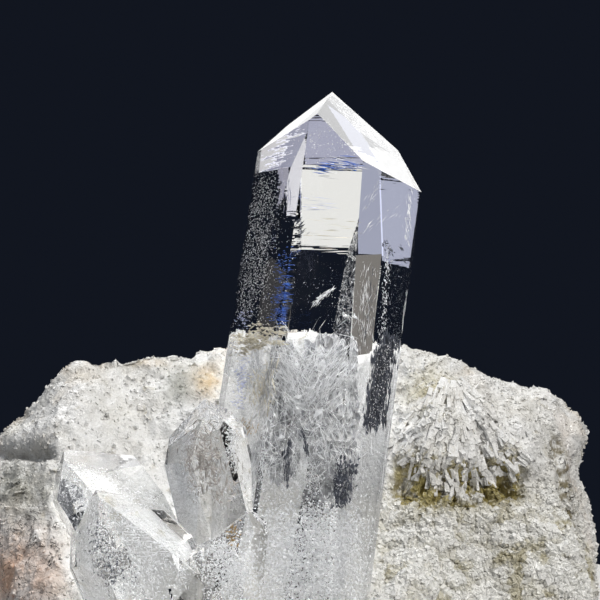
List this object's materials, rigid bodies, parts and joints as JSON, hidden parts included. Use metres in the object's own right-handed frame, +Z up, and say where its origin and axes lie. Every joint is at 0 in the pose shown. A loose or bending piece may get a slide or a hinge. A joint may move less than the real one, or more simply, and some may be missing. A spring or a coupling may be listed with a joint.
{
  "type": "quartz crystal on feldspar",
  "caption": "A tall clear quartz crystal with shorter ones grown into its foot, set in a lump of white feldspar that is broken flat underneath.",
  "frame": {"origin": "in the middle of the flat broken base of the feldspar", "axes": "+Z up, away from the base; -Y towards the front that carries the crystals; +X to the right as seen from the front"},
  "size_m": [0.0708, 0.0502, 0.0684],
  "materials": {
    "quartz_crystals": "smooth natural faces, clear above and milky at the foot",
    "feldspar_matrix": "rough broken white feldspar"
  },
  "bodies": {
    "root": {"quartz_crystals": "quartz_crystals", "feldspar_matrix": "feldspar_matrix"}
  },
  "joints": []
}
